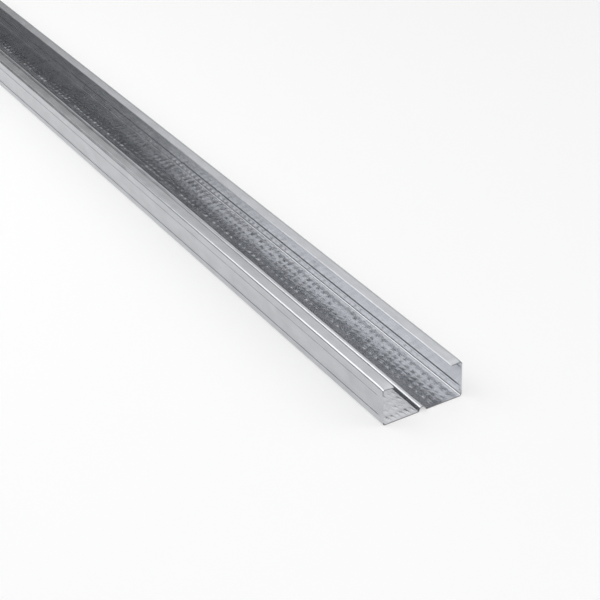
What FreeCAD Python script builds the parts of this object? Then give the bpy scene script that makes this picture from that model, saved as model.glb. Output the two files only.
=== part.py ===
"""Ceiling furring channel: one length of galvanised sheet, roll-formed into a lipped C.

The channel lies on its web with the open side up. X runs along the length, Y across the
web and Z up. The origin is at the middle of the length, on the underside of the web.
"""
import FreeCAD, Part
import math
import os

# Stock, in millimetres
LENGTH = 2600.0
WIDTH = 60.0
HEIGHT = 27.0
SHEET = 0.6

# Main bends, radius inside the bend, and lips, measured from the flange's outer face
LIP_BEND_RADIUS = 1.5
WEB_BEND_RADIUS = 1.3
LIP_WIDTH = 8.5
LIP_FALL = 4.0

# Round-topped rib pressed up along the middle of the web, radii inside its bends
RIB_HEIGHT = 3.05
RIB_FLANK = 70.0
RIB_FOOT_RADIUS = 0.2
RIB_CROWN_RADIUS = 2.4

# Flat-topped stiffening beads pressed inward along both flanges
BEAD_FLANK = 30.0
BEAD_RADIUS = 0.3
LOW_BEAD_RISE = 6.5
LOW_BEAD_CROWN = 1.1
LOW_BEAD_DEPTH = 0.42
HIGH_BEAD_DROP = 6.2
HIGH_BEAD_CROWN = 1.6
HIGH_BEAD_DEPTH = 0.28

HALF_SHEET = SHEET / 2
LIP_BEND = LIP_BEND_RADIUS + HALF_SHEET
WEB_BEND = WEB_BEND_RADIUS + HALF_SHEET
BEAD_BEND = BEAD_RADIUS + HALF_SHEET
RIB_FOOT = RIB_FOOT_RADIUS + HALF_SHEET
RIB_CROWN = RIB_CROWN_RADIUS + HALF_SHEET


def straight(length):
    """Flat stretch of the sheet."""
    return ("straight", length, 0.0)


def turn(angle, radius):
    """Bend of the sheet's middle line, in degrees, to the left where positive."""
    return ("turn", angle, radius)


def ramp(rise, angle, low_bend, high_bend):
    """Slope that leaves a flat to the left, climbs by rise and ends level, with the width it covers."""
    flank = math.radians(angle)
    side = (rise - (low_bend + high_bend) * (1 - math.cos(flank))) / math.sin(flank)
    width = (low_bend + high_bend) * math.sin(flank) + side * math.cos(flank)
    return [turn(angle, low_bend), straight(side), turn(-angle, high_bend)], width


def bead(crown, depth):
    """Flat-topped bead to the left of the sheet, with its whole width."""
    slope, width = ramp(depth, BEAD_FLANK, BEAD_BEND, BEAD_BEND)
    return slope + [straight(crown)] + slope[::-1], crown + 2 * width


def lip_reach():
    """Level length of a lip's flat, from its bend to its tip."""
    return LIP_WIDTH - HALF_SHEET - LIP_BEND * (1 + math.sin(math.radians(LIP_FALL)))


def lip():
    """Return lip, from its tip to the flange; it falls towards its tip."""
    return [straight(lip_reach() / math.cos(math.radians(LIP_FALL))), turn(90 + LIP_FALL, LIP_BEND)]


def flange():
    """Flange, from the lip's bend down to the web's bend, with its two beads."""
    top = HEIGHT - HALF_SHEET - LIP_BEND
    bottom = HALF_SHEET + WEB_BEND
    high_bead, high_width = bead(HIGH_BEAD_CROWN, HIGH_BEAD_DEPTH)
    low_bead, low_width = bead(LOW_BEAD_CROWN, LOW_BEAD_DEPTH)
    above = top - (HEIGHT - HIGH_BEAD_DROP) - high_width / 2
    between = HEIGHT - HIGH_BEAD_DROP - LOW_BEAD_RISE - (high_width + low_width) / 2
    below = LOW_BEAD_RISE - low_width / 2 - bottom
    stretches = [straight(above)] + high_bead + [straight(between)] + low_bead
    return stretches + [straight(below), turn(90, WEB_BEND)]


def half_web():
    """Web from the flange's bend to the top of the rib."""
    slope, spread = ramp(RIB_HEIGHT, RIB_FLANK, RIB_FOOT, RIB_CROWN)
    flat = WIDTH / 2 - HALF_SHEET - WEB_BEND - spread
    return [straight(flat)] + slope


def whole_section():
    """Stretches of the sheet from one lip's tip to the other's."""
    half = lip() + flange() + half_web()
    return half + half[::-1]


def lip_tip():
    """Middle of the sheet at the first lip's tip."""
    fall = math.radians(LIP_FALL)
    lip_top = HEIGHT - HALF_SHEET - LIP_BEND * (1 - math.cos(fall))
    return FreeCAD.Vector(0, LIP_WIDTH - WIDTH / 2, lip_top - lip_reach() * math.tan(fall))


def left_of(heading):
    """Unit vector to the left of a heading in the plane of the section."""
    return FreeCAD.Vector(0, -math.sin(heading), math.cos(heading))


def section_face():
    """Cut face of the sheet: both sides of its middle line, closed at the lips' tips."""
    at = lip_tip()
    heading = math.radians(180 - LIP_FALL)
    sides = {HALF_SHEET: [], -HALF_SHEET: []}
    tips = [[at + left_of(heading) * side for side in sides]]
    for kind, amount, radius in whole_section():
        if kind == "straight":
            start = at
            at = start + FreeCAD.Vector(0, math.cos(heading), math.sin(heading)) * amount
            for side, edges in sides.items():
                shift = left_of(heading) * side
                edges.append(Part.LineSegment(start + shift, at + shift).toShape())
        else:
            swing = math.radians(amount)
            hand = math.copysign(1, amount)
            centre = at + left_of(heading) * radius * hand
            for side, edges in sides.items():
                spoke = hand * radius - side
                points = [centre - left_of(heading + swing * share) * spoke for share in (0, 0.5, 1)]
                edges.append(Part.Arc(*points).toShape())
            heading += swing
            at = centre - left_of(heading) * radius * hand
    tips.append([at + left_of(heading) * side for side in sides])
    ends = [Part.LineSegment(*tip).toShape() for tip in tips]
    edges = sides[HALF_SHEET] + sides[-HALF_SHEET] + ends
    return Part.Face(Part.Wire(Part.__sortEdges__(edges)))


def channel():
    """Section drawn out along the length, centred on the origin."""
    solid = section_face().extrude(FreeCAD.Vector(LENGTH, 0, 0))
    solid.translate(FreeCAD.Vector(-LENGTH / 2, 0, 0))
    return solid


os.makedirs("parts", exist_ok=True)
channel().exportStep("parts/furring_channel.step")
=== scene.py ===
"""Looks of the ceiling furring channel: one knurled, galvanised C-section on a pale floor."""
import math
import random
from collections import namedtuple

import bmesh
import bpy
from mathutils import Euler, Matrix, Vector


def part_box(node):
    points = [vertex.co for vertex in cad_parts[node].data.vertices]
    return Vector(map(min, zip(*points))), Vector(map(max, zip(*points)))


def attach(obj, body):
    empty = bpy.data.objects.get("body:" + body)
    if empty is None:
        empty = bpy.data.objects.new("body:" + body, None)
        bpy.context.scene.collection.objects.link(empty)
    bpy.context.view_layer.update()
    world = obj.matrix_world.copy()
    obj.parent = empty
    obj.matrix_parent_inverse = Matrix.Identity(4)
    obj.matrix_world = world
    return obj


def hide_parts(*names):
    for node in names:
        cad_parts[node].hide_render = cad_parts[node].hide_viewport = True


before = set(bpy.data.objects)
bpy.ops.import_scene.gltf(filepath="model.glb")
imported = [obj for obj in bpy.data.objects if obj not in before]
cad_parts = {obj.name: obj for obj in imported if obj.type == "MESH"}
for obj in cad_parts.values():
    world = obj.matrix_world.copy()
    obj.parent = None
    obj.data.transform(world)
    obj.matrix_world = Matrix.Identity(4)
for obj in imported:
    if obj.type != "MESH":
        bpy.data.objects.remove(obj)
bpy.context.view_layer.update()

# Overall sizes in metres, from the frame
NODE = "furring_channel"
LOW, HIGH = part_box(NODE)
LENGTH = HIGH.x - LOW.x
WIDTH = HIGH.y - LOW.y
HEIGHT = HIGH.z - LOW.z
MM = 0.001

# Sheet, main bends and lips, as the part is made
SHEET = 0.6 * MM
LIP_BEND_RADIUS = 1.5 * MM
WEB_BEND_RADIUS = 1.3 * MM
LIP_WIDTH = 8.5 * MM
LIP_FALL = math.radians(4.0)

# Rib along the middle of the web
RIB_HEIGHT = 3.05 * MM
RIB_FLANK = math.radians(70.0)
RIB_FOOT_RADIUS = 0.2 * MM
RIB_CROWN_RADIUS = 2.4 * MM

# Beads along the flanges, pressed inward
BEAD_FLANK = math.radians(30.0)
BEAD_RADIUS = 0.3 * MM
LOW_BEAD_RISE = 6.5 * MM
LOW_BEAD_CROWN = 1.1 * MM
LOW_BEAD_DEPTH = 0.42 * MM
HIGH_BEAD_DROP = 6.2 * MM
HIGH_BEAD_CROWN = 1.6 * MM
HIGH_BEAD_DEPTH = 0.28 * MM

# Radii of the bends at the middle of the sheet
HALF_SHEET = SHEET / 2
LIP_BEND = LIP_BEND_RADIUS + HALF_SHEET
WEB_BEND = WEB_BEND_RADIUS + HALF_SHEET
BEAD_BEND = BEAD_RADIUS + HALF_SHEET
RIB_FOOT = RIB_FOOT_RADIUS + HALF_SHEET
RIB_CROWN = RIB_CROWN_RADIUS + HALF_SHEET

# Rounded edges of the lips: their reach, where they have points, and how blunt the very edge is
LEFT_EDGE_ROUND = 0.2 * MM
RIGHT_EDGE_ROUND = 0.55 * MM
EDGE_SHARES = (0.0, 0.35, 1.0, 1.2)
EDGE_BLUNT = 0.05

# Knurl: rows of dimples pressed up through the web from below
KNURL_PITCH = 6.83 * MM
KNURL_ROW_PITCH = 3.6 * MM
KNURL_ROWS = 6
KNURL_FIRST_RIGHT = 8.7 * MM
KNURL_FIRST_LEFT = -5.7 * MM
KNURL_END_GAP = 5.2 * MM
KNURL_MARGIN = 0.2 * MM
KNURL_LIFT = 0.18 * MM
PIMPLE_RADIUS = 0.8 * MM
PIMPLE_SHOULDER = 0.58
PIMPLE_SHOULDER_LIFT = 0.72
PIMPLE_SIDES = 6
DENT_RADIUS = 0.85 * MM
DENT_SIDES = 4

# Unevenness of the knurl: how far a dimple strays, and its least and most share of the lift and size
KNURL_SEED = 27
STRAY_ALONG = 0.5 * MM
STRAY_ACROSS = 0.25 * MM
LIFT_LEAST = 0.2
LIFT_MOST = 1.4
SIZE_LEAST = 0.75
SIZE_MOST = 1.1

# Ends: the shear bends the lips' ends down and flattens the beads over the last few millimetres
END_STATIONS = [distance * MM for distance in (0.0, 0.6, 1.4, 2.4, 4.0, 6.0, 8.0)]
BEAD_FADE = 8.0 * MM
CRUSH_REACH = 6.0 * MM
CRUSH_LEFT_TIP = 0.8 * MM
CRUSH_LEFT_BEND = 0.3 * MM
CRUSH_RIGHT_TIP = 0.45 * MM
CRUSH_RIGHT_BEND = 0.6 * MM
CRUSH_FLOOR = 20.0 * MM

# Cut faces between these heights keep the zinc colour; those above and below take the dark steel colour,
# partly bare steel and partly painted shade under the lips' ends and along the bottom
CUT_SHADE_BELOW = 4.0 * MM
CUT_SHADE_ABOVE = 24.0 * MM

# Mesh density
ARC_STEP = math.radians(12.0)
SPANS = 4
SHARP_ANGLE = math.radians(38.0)
FLAT_HOLD = 0.1 * MM
SHORT_FLAT = 0.3 * MM
SAME_PLACE = 0.01 * MM

# Zinc: tints, rolling streaks and roughness
CLOUD_SCALE = (60.0, 110.0, 110.0)
CLOUD_DETAIL = 4.0
STREAK_SCALE = (5.0, 700.0, 700.0)
STREAK_DETAIL = 2.0
ZINC_DARK = (0.500, 0.510, 0.531, 1)
ZINC_PALE = (0.574, 0.585, 0.608, 1)
STREAK_DARK = (0.96, 0.96, 0.96, 1)
STREAK_PALE = (1.0, 1.0, 1.0, 1)
TINT_FROM = 0.3
TINT_TO = 0.7
SHEEN_LEAST = 0.2
SHEEN_MOST = 0.28

# Faint unevenness that the knurling leaves in the web
WAVE_SCALE = (260.0, 260.0, 260.0)
WAVE_DETAIL = 2.0
WAVE_DEPTH = 0.12 * MM
WAVE_TOP = 1.0 * MM
WAVE_END = 2.0 * MM

# Bare steel of the sheared edges, dark enough to serve also as painted shade at the lips' ends and along the
# bottom
CUT_STEEL_AND_SHADE_COLOUR = (0.22, 0.22, 0.23, 1)
CUT_ROUGHNESS = 0.5

# Floor
FLOOR_HALF = 120.0
FLOOR_GAP = 0.1 * MM
FLOOR_COLOUR = (0.93, 0.93, 0.93, 1)
FLOOR_ROUGHNESS = 0.9
FLOOR_LIFT = 0.5

# Camera, placed from the near end of the channel
NEAR_END = Vector((HIGH.x, 0.0, LOW.z))
CAMERA_OFFSET = Vector((0.6740, -0.4742, 0.5849))
CAMERA_AZIMUTH = math.radians(60.07)
CAMERA_ELEVATION = math.radians(31.36)
CAMERA_ROLL = math.radians(-2.02)
CAMERA_NEAREST = 0.01
IMAGE_SIDE = 600
FOCAL_PIXELS = 1597.0
SENSOR_WIDTH = 36.0

# Grey of the room at the horizon and overhead
HORIZON = 0.24
OVERHEAD = 0.42

# The sheet's two faces
INSIDE = 1
OUTSIDE = -1

# Point of the section: place as (y, z), way to the inside, half thickness, dimple row, fine along the length
SectionPoint = namedtuple("SectionPoint", "place side half row fine")


def straight(length):
    """Flat stretch of the sheet."""
    return ("straight", length, 0.0)


def turn(angle, radius):
    """Bend of the sheet's middle line, to the left where positive."""
    return ("turn", angle, radius)


def ramp(rise, flank, low_bend, high_bend):
    """Slope that leaves a flat to the left, climbs by rise and ends level: stretches and width covered."""
    side = (rise - (low_bend + high_bend) * (1 - math.cos(flank))) / math.sin(flank)
    width = (low_bend + high_bend) * math.sin(flank) + side * math.cos(flank)
    return [turn(flank, low_bend), straight(side), turn(-flank, high_bend)], width


def lip_reach():
    """Level length of a lip's flat, from its bend to its tip."""
    return LIP_WIDTH - HALF_SHEET - LIP_BEND * (1 + math.sin(LIP_FALL))


def flange():
    """Flange from the lip's bend down to the web's bend, with its two beads."""
    stretches = []
    at = HEIGHT - HALF_SHEET - LIP_BEND
    for middle, crown, depth in (
        (HEIGHT - HIGH_BEAD_DROP, HIGH_BEAD_CROWN, HIGH_BEAD_DEPTH),
        (LOW_BEAD_RISE, LOW_BEAD_CROWN, LOW_BEAD_DEPTH),
    ):
        slope, width = ramp(depth, BEAD_FLANK, BEAD_BEND, BEAD_BEND)
        half = crown / 2 + width
        stretches += [straight(at - middle - half)] + slope + [straight(crown)] + slope[::-1]
        at = middle - half
    return stretches + [straight(at - HALF_SHEET - WEB_BEND), turn(math.pi / 2, WEB_BEND)]


def half_section():
    """Stretches of the sheet from a lip's tip to the top of the rib."""
    lip = [straight(lip_reach() / math.cos(LIP_FALL)), turn(math.pi / 2 + LIP_FALL, LIP_BEND)]
    rib, spread = ramp(RIB_HEIGHT, RIB_FLANK, RIB_FOOT, RIB_CROWN)
    flat = WIDTH / 2 - HALF_SHEET - WEB_BEND - spread
    return lip + flange() + [("knurled", flat, 0.0)] + rib


def direction(heading):
    """Unit vector of a heading in the plane of the section, as (y, z)."""
    return Vector((math.cos(heading), math.sin(heading)))


def left_of(heading):
    """Unit vector to the left of a heading, which is the channel's inside."""
    return Vector((-math.sin(heading), math.cos(heading)))


def knurl_borders(start, end):
    """Borders between the rows of dimples on a flat of the web, each with the row that follows it."""
    if start > 0:
        rows = [KNURL_FIRST_RIGHT + KNURL_ROW_PITCH * k for k in range(KNURL_ROWS)]
    else:
        rows = [KNURL_FIRST_LEFT - KNURL_ROW_PITCH * k for k in reversed(range(KNURL_ROWS))]
    half = KNURL_ROW_PITCH / 2
    borders = [max(start + KNURL_MARGIN, rows[0] - half)] + [row + half for row in rows]
    borders[-1] = min(end - KNURL_MARGIN, borders[-1])
    return zip(borders, rows + [None])


def rounded_edge(tip, heading, reach):
    """Places along a lip's rounded edge, from its tip inwards, each with half the thickness there."""
    places = []
    for share in EDGE_SHARES:
        roundness = 1 - (1 - min(share, 1)) ** 2
        half = HALF_SHEET * math.sqrt(EDGE_BLUNT + (1 - EDGE_BLUNT) * roundness)
        places.append((tip + direction(heading) * reach * share, half))
    return places


def section():
    """Points along the sheet's middle line, from one lip's tip to the other's."""
    points = []

    def mark(place, heading, half=HALF_SHEET, row=None, fine=False):
        points.append(SectionPoint(place.copy(), left_of(heading), half, row, fine))

    tip_drop = LIP_BEND * (1 - math.cos(LIP_FALL)) + lip_reach() * math.tan(LIP_FALL)
    at = Vector((LIP_WIDTH - WIDTH / 2, HEIGHT - HALF_SHEET - tip_drop))
    heading = math.pi - LIP_FALL
    for place, half in rounded_edge(at, heading, LEFT_EDGE_ROUND):
        mark(place, heading, half)
    half_way = half_section()
    stretches = half_way + half_way[::-1]
    for index, (kind, amount, radius) in enumerate(stretches):
        if kind == "turn":
            hand = math.copysign(radius, amount)
            centre = at + left_of(heading) * hand
            steps = math.ceil(abs(amount) / ARC_STEP)
            for step in range(1, steps + 1):
                there = heading + amount * step / steps
                at = centre - left_of(there) * hand
                mark(at, there)
            heading += amount
            continue
        end = at + direction(heading) * amount
        held = kind == "straight" and amount > SHORT_FLAT
        if held and index > 0:
            mark(at + direction(heading) * FLAT_HOLD, heading)
        if held and index < len(stretches) - 1:
            mark(end - direction(heading) * FLAT_HOLD, heading)
        if kind == "knurled":
            for border, row in knurl_borders(at.x, end.x):
                mark(Vector((border, at.y)), heading, row=row, fine=True)
        at = end
        mark(at, heading)
    points.pop()
    for place, half in reversed(rounded_edge(at, heading + math.pi, RIGHT_EDGE_ROUND)):
        mark(place, heading, half)
    return points


def dimple_places():
    """Places of the dimples along the length and the borders between them, from the near end."""
    count = int((LENGTH - 2 * KNURL_END_GAP) / KNURL_PITCH) + 1
    centres = [HIGH.x - KNURL_END_GAP - KNURL_PITCH * k for k in range(count)]
    borders = [HIGH.x] + [x - KNURL_PITCH / 2 for x in centres[:-1]] + [LOW.x]
    return centres, borders


def stations():
    """Places along the length where the plain parts of the section are repeated."""
    near = [HIGH.x - distance for distance in END_STATIONS]
    far = [LOW.x + distance for distance in reversed(END_STATIONS)]
    step = (near[-1] - far[0]) / SPANS
    return near + [near[-1] - step * k for k in range(1, SPANS)] + far


def from_end(x):
    """Distance of a place along the length from the nearer end."""
    return min(HIGH.x - x, x - LOW.x)


def bead_shift(x, place):
    """Shift across the web that flattens a flange's beads towards the ends."""
    upright = HALF_SHEET + WEB_BEND < place.y < HEIGHT - HALF_SHEET - LIP_BEND
    outside = abs(place.x) > WIDTH / 2 - LIP_BEND
    if not upright or not outside or from_end(x) > BEAD_FADE:
        return 0.0
    fade = (1 - from_end(x) / BEAD_FADE) ** 2
    depth = WIDTH / 2 - HALF_SHEET - abs(place.x)
    return math.copysign(depth * fade, place.x)


def crushed(x, y, z):
    """Height of a point of the sheet after the shear has bent the lips' ends down."""
    if from_end(x) > CRUSH_REACH or z < CRUSH_FLOOR:
        return z
    fade = (1 - from_end(x) / CRUSH_REACH) ** 2
    rise = (z - CRUSH_FLOOR) / (HEIGHT - CRUSH_FLOOR)
    inward = min(1, (WIDTH / 2 - abs(y)) / LIP_WIDTH)
    at_bend = CRUSH_RIGHT_BEND if y > 0 else CRUSH_LEFT_BEND
    at_tip = CRUSH_RIGHT_TIP if y > 0 else CRUSH_LEFT_TIP
    return z - (at_bend + (at_tip - at_bend) * inward) * fade * rise


def stitch(faces, first, second):
    """Joins two lines of (x, vertex), both running from the near end, with triangles and quads."""
    i = 0
    j = 0
    while i < len(first) - 1 or j < len(second) - 1:
        step_i = i < len(first) - 1
        step_j = j < len(second) - 1
        if step_i and step_j and abs(first[i + 1][0] - second[j + 1][0]) < SAME_PLACE:
            faces.append((first[i][1], first[i + 1][1], second[j + 1][1], second[j][1]))
            i += 1
            j += 1
        elif step_i and (not step_j or first[i + 1][0] > second[j + 1][0]):
            faces.append((first[i][1], first[i + 1][1], second[j][1]))
            i += 1
        else:
            faces.append((first[i][1], second[j + 1][1], second[j][1]))
            j += 1


def collar(outer, inner):
    """Triangles between two loops round one centre, both as sorted (angle, vertex)."""
    made = []
    i = 0
    j = 0
    while i < len(outer) or j < len(inner):
        next_outer = outer[i][0] if i < len(outer) else math.inf
        next_inner = inner[j][0] if j < len(inner) else math.inf
        if next_outer <= next_inner:
            made.append((outer[i - 1][1], outer[i][1], inner[j - 1][1]))
            i += 1
        else:
            made.append((inner[j - 1][1], outer[i - 1][1], inner[j][1]))
            j += 1
    return made


def ring(verts, centre, sides, radius, height):
    """Adds a level loop of vertices round a centre and gives their numbers."""
    made = []
    for k in range(sides):
        angle = 2 * math.pi * (k + 0.5) / sides
        verts.append((centre[0] + radius * math.cos(angle), centre[1] + radius * math.sin(angle), height))
        made.append(len(verts) - 1)
    return made


def dimple(verts, faces, corners, centre, loops, peak):
    """One cell of the knurl: a flat collar round a dimple of loops and a peak. Gives the collar's faces."""

    def by_angle(loop):
        angles = [math.atan2(verts[v][1] - centre[1], verts[v][0] - centre[0]) for v in loop]
        return sorted(zip(angles, loop))

    rings = [ring(verts, centre, *loop) for loop in loops]
    flat = collar(by_angle(corners), by_angle(rings[0]))
    flat_faces = range(len(faces), len(faces) + len(flat))
    faces.extend(flat)
    for low, high in zip(rings, rings[1:]):
        for k in range(len(low)):
            faces.append((low[k - 1], low[k], high[k], high[k - 1]))
    verts.append((centre[0], centre[1], peak))
    top = len(verts) - 1
    for k in range(len(rings[-1])):
        faces.append((rings[-1][k - 1], rings[-1][k], top))
    return flat_faces


def dimple_loops(side, level, lift, size):
    """Loops of a dimple as (sides, radius, height): a shouldered pimple inside, a plain dent outside."""
    if side == OUTSIDE:
        return [(DENT_SIDES, DENT_RADIUS * size, level)]
    radius = PIMPLE_RADIUS * size
    shoulder = level + lift * PIMPLE_SHOULDER_LIFT
    return [(PIMPLE_SIDES, radius, level), (PIMPLE_SIDES, radius * PIMPLE_SHOULDER, shoulder)]


def knurl(verts, faces, lines, points, centres):
    """Dimples of every row on both faces of the web. Gives the flat faces round them."""
    flat_faces = []
    draw = random.Random(KNURL_SEED)
    for k, point in enumerate(points):
        if point.row is None:
            continue
        for n, x in enumerate(centres):
            along = draw.uniform(-STRAY_ALONG, STRAY_ALONG)
            across = draw.uniform(-STRAY_ACROSS, STRAY_ACROSS)
            centre = (x + along, point.row + across)
            lift = KNURL_LIFT * draw.uniform(LIFT_LEAST, LIFT_MOST)
            size = draw.uniform(SIZE_LEAST, SIZE_MOST)
            for side, made in lines.items():
                corners = [made[k][n][1], made[k][n + 1][1], made[k + 1][n + 1][1], made[k + 1][n][1]]
                level = verts[corners[0]][2]
                loops = dimple_loops(side, level, lift, size)
                flat_faces += dimple(verts, faces, corners, centre, loops, level + lift)
    return flat_faces


def sheet_lines(verts, points, borders):
    """Lines of vertices along the length, one for each point of the section, on both faces of the sheet."""
    lines = {INSIDE: [], OUTSIDE: []}
    for side, made in lines.items():
        for point in points:
            place = point.place + point.side * point.half * side
            line = []
            for x in borders if point.fine else stations():
                across = place.x + bead_shift(x, point.place)
                verts.append((x, across, crushed(x, place.x, place.y)))
                line.append((x, len(verts) - 1))
            made.append(line)
    return lines


def close_sheet(faces, lines, points):
    """Faces along both lips' edges and over both cut ends. Gives the cut faces that take the dark steel
    colour, partly bare steel and partly painted shade.
    """
    inside = lines[INSIDE]
    outside = lines[OUTSIDE]
    for tip in (0, -1):
        stitch(faces, inside[tip], outside[tip])
    steel_and_shade_faces = []
    for end in (0, -1):
        for k in range(len(points) - 1):
            loop = (inside[k], inside[k + 1], outside[k + 1], outside[k])
            # Cut faces at the lips' ends and along the bottom get the dark steel colour, partly as painted
            # shade
            if not CUT_SHADE_BELOW < points[k].place.y < CUT_SHADE_ABOVE:
                steel_and_shade_faces.append(len(faces))
            faces.append(tuple(line[end][1] for line in loop))
    return steel_and_shade_faces


def face_outwards(mesh):
    """Turns every face of a closed mesh to the outside."""
    work = bmesh.new()
    work.from_mesh(mesh)
    bmesh.ops.recalc_face_normals(work, faces=work.faces)
    work.to_mesh(mesh)
    work.free()


def channel_mesh():
    """Closed mesh of the channel: both faces of the sheet, its cut ends and the dimples."""
    points = section()
    centres, borders = dimple_places()
    verts = []
    faces = []
    lines = sheet_lines(verts, points, borders)
    for made in lines.values():
        for k in range(len(points) - 1):
            if points[k].row is None:
                stitch(faces, made[k], made[k + 1])
    flat_faces = knurl(verts, faces, lines, points, centres)
    steel_and_shade_faces = close_sheet(faces, lines, points)
    mesh = bpy.data.meshes.new("furring_channel_sheet")
    mesh.from_pydata(verts, [], faces)
    # Dark steel colour on these cut faces, partly painted shade
    for index in steel_and_shade_faces:
        mesh.polygons[index].material_index = 1
    face_outwards(mesh)
    mesh.shade_smooth()
    for index in flat_faces:
        mesh.polygons[index].use_smooth = False
    mesh.set_sharp_from_angle(angle=SHARP_ANGLE)
    return mesh


def new_material(name):
    """New node material, with its nodes and links."""
    material = bpy.data.materials.new(name)
    material.use_nodes = True
    return material, material.node_tree.nodes, material.node_tree.links


def noise(nodes, links, scale, detail):
    """Noise over the piece's own coordinates, in bumps a metre along each axis."""
    place = nodes.new("ShaderNodeTexCoord")
    mapping = nodes.new("ShaderNodeMapping")
    mapping.inputs["Scale"].default_value = scale
    links.new(place.outputs["Object"], mapping.inputs["Vector"])
    texture = nodes.new("ShaderNodeTexNoise")
    texture.inputs["Scale"].default_value = 1.0
    texture.inputs["Detail"].default_value = detail
    links.new(mapping.outputs["Vector"], texture.inputs["Vector"])
    return texture.outputs["Fac"]


def tint(nodes, links, source, dark, pale):
    """Colour that runs from dark to pale with a noise."""
    colours = nodes.new("ShaderNodeValToRGB")
    colours.color_ramp.elements[0].position = TINT_FROM
    colours.color_ramp.elements[0].color = dark
    colours.color_ramp.elements[1].position = TINT_TO
    colours.color_ramp.elements[1].color = pale
    links.new(source, colours.inputs["Fac"])
    return colours.outputs["Color"]


def web_waves(nodes, links):
    """Normal of the web's faint unevenness, which ends where the sheet rises from the web."""
    place = nodes.new("ShaderNodeTexCoord")
    axes = nodes.new("ShaderNodeSeparateXYZ")
    links.new(place.outputs["Object"], axes.inputs["Vector"])
    share = nodes.new("ShaderNodeMapRange")
    share.inputs["From Min"].default_value = WAVE_TOP
    share.inputs["From Max"].default_value = WAVE_END
    share.inputs["To Min"].default_value = 1.0
    share.inputs["To Max"].default_value = 0.0
    links.new(axes.outputs["Z"], share.inputs["Value"])
    bump = nodes.new("ShaderNodeBump")
    bump.inputs["Distance"].default_value = WAVE_DEPTH
    links.new(share.outputs["Result"], bump.inputs["Strength"])
    links.new(noise(nodes, links, WAVE_SCALE, WAVE_DETAIL), bump.inputs["Height"])
    return bump.outputs["Normal"]


def galvanised_steel():
    """Zinc-coated sheet: cool grey metal with faint rolling streaks and cloudy tints."""
    material, nodes, links = new_material("galvanised_steel")
    shader = nodes["Principled BSDF"]
    shader.inputs["Metallic"].default_value = 1.0
    streaks = noise(nodes, links, STREAK_SCALE, STREAK_DETAIL)
    clouds = noise(nodes, links, CLOUD_SCALE, CLOUD_DETAIL)
    blend = nodes.new("ShaderNodeMix")
    blend.data_type = "RGBA"
    blend.blend_type = "MULTIPLY"
    blend.inputs["Factor"].default_value = 1.0
    links.new(tint(nodes, links, clouds, ZINC_DARK, ZINC_PALE), blend.inputs["A"])
    links.new(tint(nodes, links, streaks, STREAK_DARK, STREAK_PALE), blend.inputs["B"])
    links.new(blend.outputs["Result"], shader.inputs["Base Color"])
    sheen = nodes.new("ShaderNodeMapRange")
    sheen.inputs["To Min"].default_value = SHEEN_LEAST
    sheen.inputs["To Max"].default_value = SHEEN_MOST
    links.new(clouds, sheen.inputs["Value"])
    links.new(sheen.outputs["Result"], shader.inputs["Roughness"])
    links.new(web_waves(nodes, links), shader.inputs["Normal"])
    return material


def cut_steel_and_painted_shade():
    """Bare edge of the sheet where the length was sheared: duller and darker than the zinc; at the lips'
    ends and along the bottom its dark colour is partly painted shade.
    """
    material, nodes, links = new_material("cut_steel_and_painted_shade")
    shader = nodes["Principled BSDF"]
    shader.inputs["Metallic"].default_value = 1.0
    shader.inputs["Base Color"].default_value = CUT_STEEL_AND_SHADE_COLOUR
    shader.inputs["Roughness"].default_value = CUT_ROUGHNESS
    return material


def pale_floor():
    """Matt white floor that keeps the shadow; part of its white is shown to the eye and the metal."""
    material, nodes, links = new_material("pale_floor")
    shader = nodes["Principled BSDF"]
    shader.inputs["Base Color"].default_value = FLOOR_COLOUR
    shader.inputs["Roughness"].default_value = FLOOR_ROUGHNESS
    path = nodes.new("ShaderNodeLightPath")
    white = nodes.new("ShaderNodeEmission")
    seen = nodes.new("ShaderNodeMath")
    seen.operation = "ADD"
    links.new(path.outputs["Is Camera Ray"], seen.inputs[0])
    links.new(path.outputs["Is Glossy Ray"], seen.inputs[1])
    through = nodes.new("ShaderNodeMath")
    through.operation = "ADD"
    through.use_clamp = True
    links.new(seen.outputs[0], through.inputs[0])
    links.new(path.outputs["Is Transmission Ray"], through.inputs[1])
    share = nodes.new("ShaderNodeMath")
    share.operation = "MULTIPLY"
    share.inputs[1].default_value = FLOOR_LIFT
    links.new(through.outputs[0], share.inputs[0])
    mix = nodes.new("ShaderNodeMixShader")
    links.new(share.outputs[0], mix.inputs["Fac"])
    links.new(shader.outputs["BSDF"], mix.inputs[1])
    links.new(white.outputs["Emission"], mix.inputs[2])
    links.new(mix.outputs["Shader"], nodes["Material Output"].inputs["Surface"])
    return material


def floor_mesh():
    """One large level square."""
    mesh = bpy.data.meshes.new("floor")
    corners = [(-1, -1), (1, -1), (1, 1), (-1, 1)]
    mesh.from_pydata([(x * FLOOR_HALF, y * FLOOR_HALF, 0.0) for x, y in corners], [], [(0, 1, 2, 3)])
    return mesh


def add_object(name, data):
    """New object in the scene."""
    made = bpy.data.objects.new(name, data)
    bpy.context.scene.collection.objects.link(made)
    return made


def place_camera():
    """Camera at the photo's viewing angle."""
    data = bpy.data.cameras.new("camera")
    data.sensor_width = SENSOR_WIDTH
    data.lens = FOCAL_PIXELS / IMAGE_SIDE * SENSOR_WIDTH
    data.clip_start = CAMERA_NEAREST
    camera = add_object("camera", data)
    aim = Euler((math.pi / 2 - CAMERA_ELEVATION, 0.0, CAMERA_AZIMUTH)).to_matrix()
    turned = aim @ Matrix.Rotation(CAMERA_ROLL, 3, "Z")
    camera.matrix_world = Matrix.Translation(NEAR_END + CAMERA_OFFSET) @ turned.to_4x4()
    bpy.context.scene.camera = camera


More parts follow.
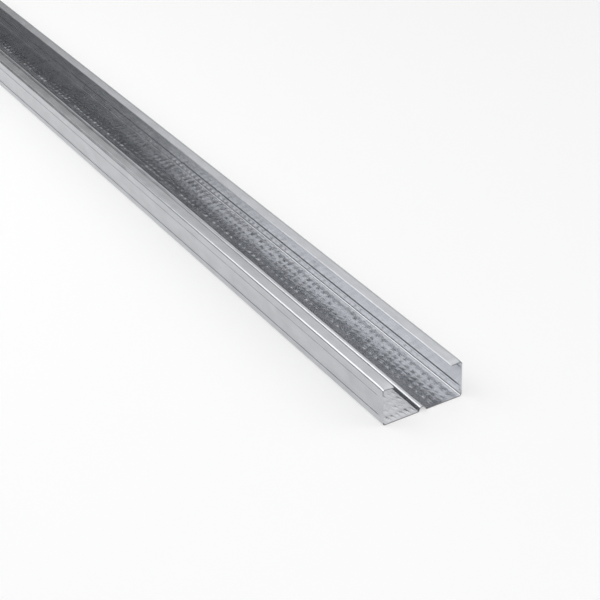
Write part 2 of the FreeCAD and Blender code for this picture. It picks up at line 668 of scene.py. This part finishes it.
def softbox(name, at, aim, width, height, brightness):
    """Area lamp, placed from the near end and aimed at a point given from it too."""
    data = bpy.data.lights.new(name, "AREA")
    data.shape = "RECTANGLE"
    data.size = width
    data.size_y = height
    data.energy = brightness * math.pi * width * height
    lamp = add_object(name, data)
    lamp.location = NEAR_END + Vector(at)
    lamp.rotation_euler = (Vector(aim) - Vector(at)).to_track_quat("-Z", "Y").to_euler()
    lamp.visible_camera = False


def light_room():
    """Grey room, darker towards the horizon."""
    world = bpy.data.worlds.new("studio")
    bpy.context.scene.world = world
    world.use_nodes = True
    nodes = world.node_tree.nodes
    links = world.node_tree.links
    place = nodes.new("ShaderNodeTexCoord")
    axes = nodes.new("ShaderNodeSeparateXYZ")
    grey = nodes.new("ShaderNodeMapRange")
    grey.inputs["To Min"].default_value = HORIZON
    grey.inputs["To Max"].default_value = OVERHEAD
    links.new(place.outputs["Generated"], axes.inputs["Vector"])
    links.new(axes.outputs["Z"], grey.inputs["Value"])
    links.new(grey.outputs["Result"], nodes["Background"].inputs["Color"])


# Channel
channel = add_object("furring_channel_sheet", channel_mesh())
channel.data.materials.append(galvanised_steel())
channel.data.materials.append(cut_steel_and_painted_shade())
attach(channel, "root")
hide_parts(NODE)

# Floor, just under the web
floor = add_object("floor", floor_mesh())
floor.data.materials.append(pale_floor())
floor.location.z = LOW.z - FLOOR_GAP

# Camera and light
place_camera()
softbox("key", at=(0.4, -0.15, 0.6), aim=(0, 0, 0), width=0.4, height=0.4, brightness=1.3)
softbox("right", at=(0.9, 1.8, 1.2), aim=(-0.4, 0, 0), width=1.2, height=1.2, brightness=2.6)
softbox("left", at=(0.1, -1.2, 1.6), aim=(0, -0.1, 0), width=1.2, height=1.2, brightness=0.75)
softbox("top", at=(-0.2, 0.3, 2.5), aim=(-0.2, 0.3, 0), width=4.0, height=4.0, brightness=0.4)
softbox("back_left", at=(-0.76, -0.54, 0.72), aim=(-0.4, 0, 0), width=1.0, height=0.75, brightness=1.8)
softbox("back_right", at=(-2.42, 1.4, 2.11), aim=(0, 0, 0), width=2.6, height=1.9, brightness=0.66)
light_room()
bpy.context.scene.view_settings.view_transform = "Standard"
